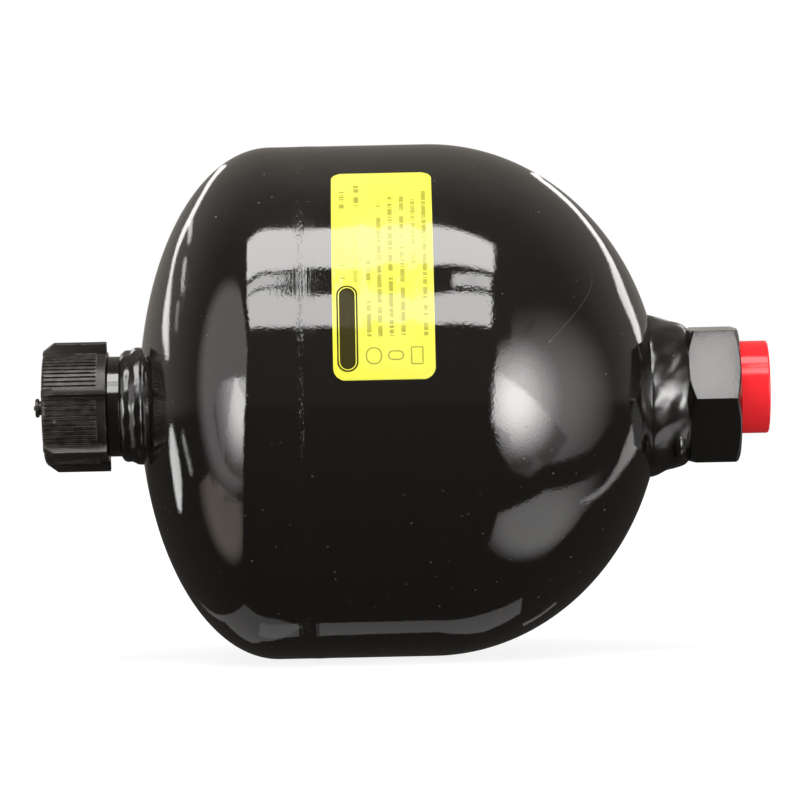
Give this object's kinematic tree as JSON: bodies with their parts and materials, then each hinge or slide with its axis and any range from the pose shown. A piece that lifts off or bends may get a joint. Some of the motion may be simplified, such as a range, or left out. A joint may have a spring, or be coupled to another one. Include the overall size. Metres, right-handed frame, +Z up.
{
  "type": "hydraulic accumulator",
  "caption": "Welded, painted steel hydraulic accumulator with a rubber separator inside, a capped gas charging neck at one end and a plugged hexagon fluid port at the other.",
  "frame": {"origin": "on the vessel's axis, in the middle of the plain band between the girth weld and the fluid dome, where a clamp holds it", "axes": "+X along the vessel's axis towards the fluid port, +Z up, -Y towards the front, where the label shows"},
  "size_m": [0.2296, 0.1602, 0.1602],
  "materials": {
    "black_paint": "gloss",
    "painted_weld": "gloss",
    "bright_steel": "turned",
    "cap_plastic": "satin",
    "plug_plastic": "gloss",
    "button_plastic": "satin",
    "rubber": "matte",
    "label_film": "gloss film"
  },
  "bodies": {
    "vessel": {"gas_shell": "black_paint", "fluid_shell": "black_paint", "girth_weld": "painted_weld", "gas_neck": "black_paint", "gas_neck_weld": "painted_weld", "charging_screw_seal": "rubber", "fluid_port": "black_paint", "fluid_port_weld": "painted_weld", "clamping_ring": "bright_steel", "separator": "rubber", "rating_label": "label_film"},
    "cap": {"valve_cap": "cap_plastic"},
    "screw": {"charging_screw": "bright_steel"},
    "plug": {"port_plug": "plug_plastic"},
    "button": {"closing_button": "button_plastic"}
  },
  "joints": [
    {"name": "valve_cap_unscrew", "type": "slide", "parent": "vessel", "child": "cap", "axis": [-1, 0, 0], "range_m": [0, 0.018]},
    {"name": "charging_screw_turn", "type": "hinge", "parent": "vessel", "child": "screw", "pos_m": [-0.0916, 0, 0], "axis": [-1, 0, 0], "range_deg": [0, 270]},
    {"name": "port_plug_pull", "type": "slide", "parent": "vessel", "child": "plug", "axis": [1, 0, 0], "range_m": [0, 0.045]},
    {"name": "closing_button_stroke", "type": "slide", "parent": "vessel", "child": "button", "axis": [-1, 0, 0], "range_m": [0, 0.09], "stiffness_N_per_m": 20, "springref_m": -0.01, "deforming": ["separator"]}
  ]
}
